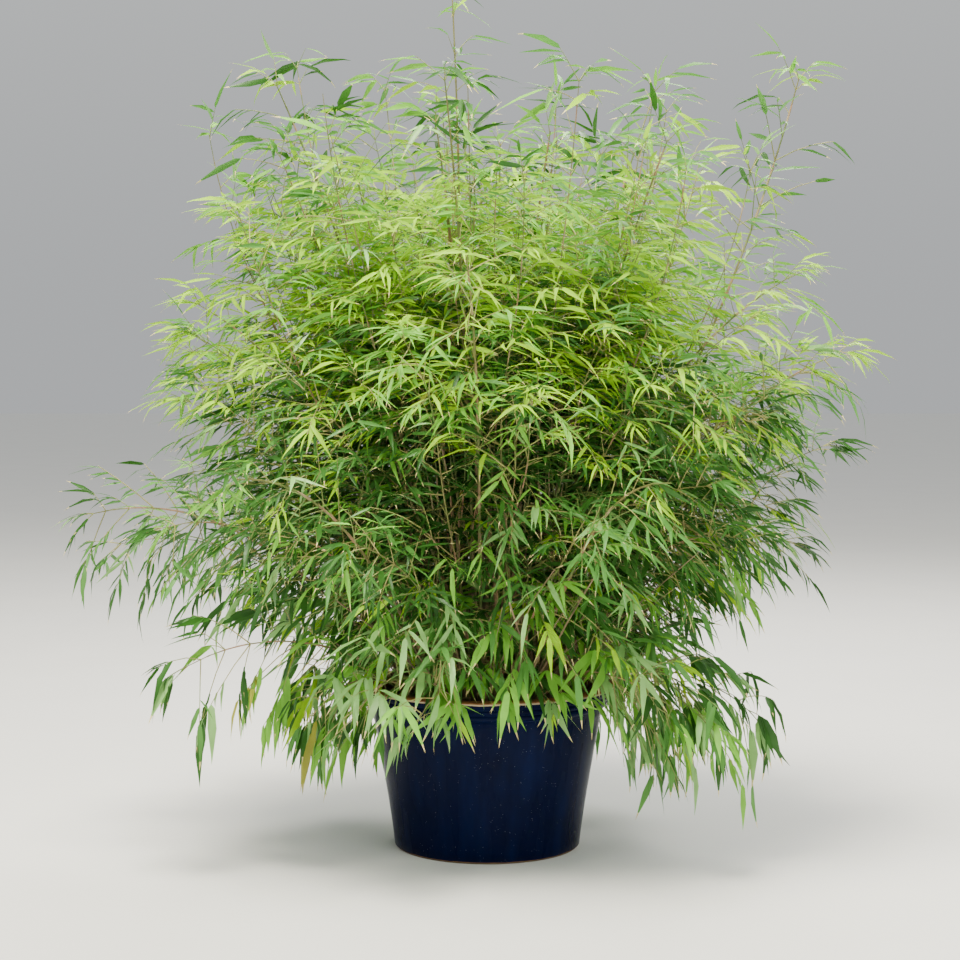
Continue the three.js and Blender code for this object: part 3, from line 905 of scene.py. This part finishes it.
def pot_paint(settings):
    """Fired clay under a dark glaze that stops short of the foot and at the lip's inner edge."""
    paint = new_paint("glazed_pot")
    x, y, z = paint.axes()
    radius = (x * x + y * y) ** 0.5
    level = z + (paint.noise(24, 3) - 0.5) * 0.004
    side = (z / (POT_HEIGHT - LIP_HEIGHT)).math("MINIMUM", 1)
    outer = side ** POT_FLARE * (SHOULDER_RADIUS - FOOT_RADIUS) + FOOT_RADIUS
    inner = (outer - radius).step(0.008, 0.009)
    brim = POT_HEIGHT - LIP_EDGE_DROP
    top = level.step(brim + 0.0012, brim + 0.0018)
    foot = 1 - level.step(settings.bare_foot - 0.001, settings.bare_foot + 0.001)
    bare = inner.math("MAXIMUM", top).math("MAXIMUM", foot)
    edge = level.step(brim - 0.0006, brim) * (1 - level.step(brim + 0.0022, brim + 0.0034)) * (1 - inner)
    run = paint.noise(26, 4, (1, 1, 0.07))
    cloud = paint.noise(7, 2)
    glaze = paint.colour_mix(run.step(0.42, 0.72), settings.glaze, (0.002, 0.006, 0.032))
    glaze = paint.colour_mix(cloud.step(0.5, 0.8) * 0.5, glaze, (0.002, 0.003, 0.01))
    speck = paint.node("TexVoronoi", {"feature": "F1"}, {"Vector": paint.place, "Scale": 165})
    speck_here = paint.noise(37, 2).step(0.46, 0.56)
    glaze = paint.colour_mix((1 - speck.step(0.04, 0.11)) * speck_here * 0.5, glaze, (0.42, 0.45, 0.5))
    grit = paint.noise(160, 4)
    clay = paint.colour_mix(grit.step(0.4, 0.7), settings.clay, dim(settings.clay, 0.62))
    stain = paint.noise(11, 3).step(0.5, 0.75) * 0.6
    clay = paint.colour_mix(stain, clay, (0.12, 0.07, 0.045))
    clay = paint.colour_mix(foot, clay, (0.17, 0.12, 0.07))
    tone = paint.colour_mix(bare, glaze, clay)
    tone = paint.colour_mix(edge * 0.9, tone, settings.edge)
    paint.set(Base_Color=tone, Roughness=bare * 0.56 + 0.22 + run * 0.12, Coat_Weight=(1 - bare) * 0.03)
    paint.set(Specular_IOR_Level=0.025, Coat_Roughness=0.14)
    ripple = paint.noise(5, 2, (1, 1, 2.2))
    paint.bump(ripple * 0.3 + run * 0.02 + grit * bare * 0.25, 0.3, 0.003)
    return paint.owner


def pot_section(groove_depth):
    """The pot's outline from the middle of its underside, round its outside and down its inside."""
    lip_foot = POT_HEIGHT - LIP_HEIGHT
    points = [(0, 0), (FOOT_RADIUS - FOOT_CHAMFER, 0)]
    for i in range(SIDE_STEPS + 1):
        share = i / SIDE_STEPS
        radius = mix(FOOT_RADIUS, SHOULDER_RADIUS, share**POT_FLARE)
        points.append((radius, mix(FOOT_CHAMFER, lip_foot - LIP_COVE, share)))

    def lip_at(share):
        radius = mix(SHOULDER_RADIUS + LIP_STEP, POT_RADIUS, share)
        return radius, mix(lip_foot, POT_HEIGHT - LIP_EDGE_DROP, share)

    points += [(SHOULDER_RADIUS + LIP_STEP * 0.45, lip_foot - LIP_COVE * 0.25), lip_at(0)]
    half = GROOVE_WIDTH / 2 / LIP_HEIGHT
    for share in LIP_GROOVES:
        for k in range(-2, 3):
            depth = groove_depth * cos(k / 2 * pi / 2)
            edge_radius, edge_height = lip_at(share + half * k / 2)
            points.append((edge_radius - depth, edge_height))
    inner_rim = POT_RADIUS - LIP_TOP_WIDTH
    points.append(lip_at(0.93))
    for i in range(1, RIM_STEPS):
        turn = pi * i / RIM_STEPS
        middle = (POT_RADIUS + inner_rim) / 2
        reach = (POT_RADIUS - inner_rim) / 2 * copysign(abs(cos(turn)) ** 0.6, cos(turn))
        points.append((middle + reach, POT_HEIGHT - LIP_EDGE_DROP * (1 - sin(turn) ** 0.7)))
    points += [
        (inner_rim, POT_HEIGHT - LIP_EDGE_DROP - 0.002),
        (SHOULDER_RADIUS - POT_WALL, lip_foot),
        (FOOT_RADIUS - POT_WALL, POT_FLOOR),
        (0, POT_FLOOR),
    ]
    return points


class BAMBOO_OT_pot(Operator):
    """Turns the glazed pot"""

    bl_idname = "bamboo.pot"
    bl_label = "Pot"

    def execute(self, context):
        settings = context.scene.bamboo_pot
        mesh = bmesh.new()
        verts = [mesh.verts.new((radius, 0, height)) for radius, height in pot_section(settings.groove_depth)]
        edges = [mesh.edges.new(pair) for pair in zip(verts, verts[1:])]
        bmesh.ops.spin(
            mesh, geom=verts + edges, axis=(0, 0, 1), cent=(0, 0, 0), angle=tau, steps=96, use_merge=True
        )
        bmesh.ops.remove_doubles(mesh, verts=mesh.verts, dist=1e-5)
        place(finished("pot_body", mesh), pot_paint(settings), "pot_glaze", "pot")
        return {"FINISHED"}


class BAMBOO_OT_soil(Operator):
    """Fills the pot with soil and strews dry leaves on it"""

    bl_idname = "bamboo.soil"
    bl_label = "Soil and litter"

    def execute(self, context):
        mesh = bmesh.new()
        bmesh.ops.create_grid(mesh, x_segments=60, y_segments=60, size=1)
        reach = SOIL_RADIUS - 0.001
        for vert in mesh.verts:
            u, v = vert.co.x, vert.co.y
            x, y = u * sqrt(1 - v * v / 2), v * sqrt(1 - u * u / 2)
            clods = 0.5 * sin(31 * x + 3 * sin(17 * y))
            clods += 0.5 * sin(27 * y + 2 * sin(23 * x))
            rim = smoothstep(hypot(x, y), 0.86, 1)
            vert.co = (x * reach, y * reach, SOIL_TOP - 0.004 + 0.003 * clods - 0.004 * rim)
        skirt = bmesh.ops.extrude_face_region(mesh, geom=mesh.faces[:])
        low = [item for item in skirt["geom"] if isinstance(item, bmesh.types.BMVert)]
        for vert in low:
            vert.co = (vert.co.x * 0.97, vert.co.y * 0.97, SOIL_TOP - 0.06)
        place(finished("pot_soil", mesh), soil_paint(), "soil", "soil")
        self.strew(context.scene.bamboo_leaves)
        return {"FINISHED"}

    def strew(self, settings):
        """Fallen leaves, flat on the soil."""
        dice = random.Random(7)
        leaves = []
        for _ in range(LITTER):
            turn, radius = dice.uniform(0, tau), SOIL_RADIUS * 0.8 * sqrt(dice.random())
            heading = dice.uniform(0, tau)
            ahead = Vector((cos(heading), sin(heading), dice.uniform(-0.06, 0.12))).normalized()
            leaves.append({
                "root": Vector((radius * cos(turn), radius * sin(turn), SOIL_TOP + 0.003)),
                "direction": ahead,
                "side": Vector((-ahead.y, ahead.x, dice.uniform(-0.3, 0.3))),
                "length": dice.uniform(0.03, 0.055),
                "width": dice.uniform(0.006, 0.01),
                "arch": dice.uniform(0.1, 0.8),
                "fold": radians(dice.uniform(5, 30)),
                "twist": dice.gauss(0, 0.6),
            })
        across_along, faces, _ = blade_template()
        mesh = joined_mesh("leaf_litter", [(blade_points(leaves, across_along), faces)])
        place(mesh, dry_paint("dry_litter", dim(settings.dry, 0.6)), "foliage")


class BAMBOO_OT_canes(Operator):
    """Grows the canes with their joints and sheaths"""

    bl_idname = "bamboo.canes"
    bl_label = "Canes and sheaths"

    def execute(self, context):
        settings = context.scene.bamboo_canes
        dice = random.Random(19)
        skins, thin_skins, sheaths = [], [], []
        for cane in lay_out_canes(settings.companions):
            self.grow(cane, settings, dice, skins if cane.main else thin_skins, sheaths)
        skin = cane_paint("cane_skin", settings.skin, (0.12, 0.18, 0.04))
        place(tube_mesh("cane_stems", skins, 8), skin, "cane", *CANE_NODES)
        place(tube_mesh("thin_canes", thin_skins, 6), skin, "cane")
        paper = cane_paint("cane_sheath", settings.sheath, (0.37, 0.29, 0.15))
        place(tube_mesh("cane_sheaths", sheaths, 6), paper, "cane")
        straw = cane_paint("dead_straw", (0.26, 0.18, 0.1), (0.13, 0.085, 0.045))
        place(tube_mesh("dead_stems", self.dead_stems(dice), 6), straw, "cane")
        return {"FINISHED"}

    def dead_stems(self, dice):
        """Bare old stems and fine straw that fill the heart of the clump above the soil."""
        strands = []
        for i in range(DEAD_STEMS + STRAWS):
            fine = i >= DEAD_STEMS
            turn = dice.uniform(0, tau)
            outward = Vector((cos(turn), sin(turn), 0))
            foot = outward * dice.uniform(0, 0.175) + UP * (SOIL_TOP - 0.004)
            length = dice.uniform(0.1, 0.42) if fine else dice.uniform(0.16, 0.52)
            lean = radians(dice.uniform(0, 22) + 180 * hypot(foot.x, foot.y))
            ahead = outward * sin(lean) + UP * cos(lean)
            bend = Vector([dice.uniform(-0.22, 0.22), dice.uniform(-0.22, 0.22), -0.12]) * length
            girth = dice.uniform(0.0005, 0.0009) if fine else dice.uniform(0.0013, 0.0028)
            strands.append([
                (foot + ahead * length * share + bend * share**2, girth * mix(1, 0.6, share))
                for share in (0, 0.3, 0.65, 1)
            ])
        return strands

    def grow(self, cane, settings, dice, skins, sheaths):
        """One cane as a strand that swells at each joint, with sheaths above some of them."""
        def radius(share):
            return cane.girth * mix(settings.foot_radius, settings.tip_radius, share**0.9)

        def station(mark, swell):
            share = min(mark / cane.length, 1)
            return cane.at(share), radius(share) * swell

        strand = [station(0, 1.1)]
        mark = dice.uniform(0.015, 0.04)
        while mark < cane.length - 0.03:
            share = mark / cane.length
            spacing = settings.joint_spacing * mix(0.7, 1.1, sin(pi * share)) * dice.uniform(0.85, 1.15)
            strand += [station(mark + away, swell) for away, swell in (JOINT if cane.main else THIN_JOINT)]
            if mark + spacing < cane.length:
                strand.append(station(mark + spacing / 2, 1))
                if dice.random() < mix(0.75, 0.45, share):
                    cover = spacing * dice.uniform(0.45, 0.85)
                    sheath = [station(mark + 0.001, 1.24)]
                    sheaths.append(sheath + [station(mark + cover * part, swell) for part, swell in SHEATH])
            mark += spacing
        strand.append(station(cane.length, 0.7))
        skins.append(strand)


class BAMBOO_OT_foliage(Operator):
    """Grows the twigs and deals out the leaves in sprays of one tint"""

    bl_idname = "bamboo.foliage"
    bl_label = "Twigs and leaves"

    def execute(self, context):
        scene = context.scene
        settings = scene.bamboo_leaves
        crown = Crown(lay_out_canes(scene.bamboo_canes.companions), settings)
        bark = cane_paint("twig_bark", scene.bamboo_canes.twig, (0.19, 0.27, 0.06))
        upper, lower = [], []
        for twig in crown.twigs:
            girth = 0.0009 + 0.003 * twig.length
            strand = [(twig.at(share), girth * mix(1, 0.45, share)) for share in (0, 0.35, 0.7, 1)]
            (upper if twig.root.z > TWIG_SPLIT else lower).append(strand)
        place(tube_mesh("twigs_upper", upper, 4), bark, "cane")
        place(tube_mesh("twigs_lower", lower, 4), bark, "cane")
        self.deal(crown.leaves, settings)
        return {"FINISHED"}

    def deal(self, leaves, settings):
        """One piece for each tint, and one for the dried tips."""
        across_along, faces, tip = blade_template()
        body_faces = [face for face, at_tip in zip(faces, tip) if not at_tip]
        tip_faces = [face for face, at_tip in zip(faces, tip) if at_tip]
        for index, (piece, paint, gloss, *_) in enumerate(TINTS):
            dealt = [leaf for leaf in leaves if leaf["tint"] == index]
            mesh = joined_mesh(piece, [
                (blade_points([leaf for leaf in dealt if not leaf["dry"]], across_along), faces),
                (blade_points([leaf for leaf in dealt if leaf["dry"]], across_along), body_faces),
            ])
            colour = getattr(settings, piece.removeprefix("leaves_"))
            place(mesh, leaf_paint(paint, colour, gloss), "foliage", *FOLIAGE_NODES)
        dry = [leaf for leaf in leaves if leaf["dry"]]
        mesh = joined_mesh("leaf_dry_tips", [(blade_points(dry, across_along), tip_faces)])
        place(mesh, dry_paint("dry_tip", settings.dry), "foliage")


class BAMBOO_OT_stage(Operator):
    """Sets the floor, the lights and the camera"""

    bl_idname = "bamboo.stage"
    bl_label = "Stage"

    def execute(self, context):
        scene = context.scene
        mesh = bmesh.new()
        bmesh.ops.create_grid(mesh, x_segments=4, y_segments=4, size=30)
        data = bpy.data.meshes.new("floor")
        mesh.to_mesh(data)
        mesh.free()
        floor = add_object("floor", data)
        paint = new_paint("pale_floor")
        grain = paint.noise(3, 4)
        paint.set(Base_Color=paint.colour_mix(grain, (0.72, 0.71, 0.69), (0.77, 0.76, 0.74)), Roughness=0.8)
        data.materials.append(paint.owner)
        scene.world = bpy.data.worlds.new("studio")
        sky = Paint(scene.world, "Background", "Generated")
        up = sky.axes()[2].step(0, 0.3)
        sky.set(Color=sky.colour_mix(up, (0.7, 0.72, 0.74), (0.93, 0.96, 0.96)), Strength=0.7)
        for lamp in LIGHTS:
            self.light(*lamp)
        camera = bpy.data.cameras.new("camera")
        camera.lens = 78.75
        camera.sensor_width = 36
        eye = add_object("camera", camera)
        eye.location = CAMERA_PLACE
        eye.rotation_euler = (radians(90 - CAMERA_DIP), 0, 0)
        scene.camera = eye
        return {"FINISHED"}

    def light(self, name, location, size, power, colour):
        data = bpy.data.lights.new(name, "AREA")
        data.shape, data.size, data.energy, data.color = "DISK", size, power, colour
        lamp = add_object(name, data)
        lamp.location = location
        aim = Vector(LIGHTS_AIM) - lamp.location
        lamp.rotation_euler = aim.to_track_quat("-Z", "Y").to_euler()
        lamp.visible_camera = False


class BAMBOO_PT_panel(Panel):
    """The sidebar panel that lists the pieces and their settings"""

    bl_idname = "BAMBOO_PT_panel"
    bl_label = "Potted bamboo"
    bl_space_type = "VIEW_3D"
    bl_region_type = "UI"
    bl_category = "Bamboo"

    def draw(self, context):
        for operator in OPERATORS:
            self.layout.operator(operator.bl_idname)
        for group in SETTINGS:
            box = self.layout.box()
            settings = getattr(context.scene, group)
            for name in settings.__annotations__:
                box.prop(settings, name)


OPERATORS = (BAMBOO_OT_stage, BAMBOO_OT_pot, BAMBOO_OT_soil, BAMBOO_OT_canes, BAMBOO_OT_foliage)
SETTINGS = {"bamboo_pot": PotSettings, "bamboo_canes": CaneSettings, "bamboo_leaves": LeafSettings}


def register():
    for name, group in SETTINGS.items():
        bpy.utils.register_class(group)
        setattr(bpy.types.Scene, name, PointerProperty(type=group))
    for operator in OPERATORS:
        bpy.utils.register_class(operator)
    bpy.utils.register_class(BAMBOO_PT_panel)


def unregister():
    bpy.utils.unregister_class(BAMBOO_PT_panel)
    for operator in OPERATORS:
        bpy.utils.unregister_class(operator)
    for name, group in SETTINGS.items():
        delattr(bpy.types.Scene, name)
        bpy.utils.unregister_class(group)


def main():
    register()
    bpy.ops.bamboo.stage()
    bpy.ops.bamboo.pot()
    bpy.ops.bamboo.soil()
    bpy.ops.bamboo.canes()
    bpy.ops.bamboo.foliage()
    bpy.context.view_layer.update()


if __name__ == "__main__":
    main()
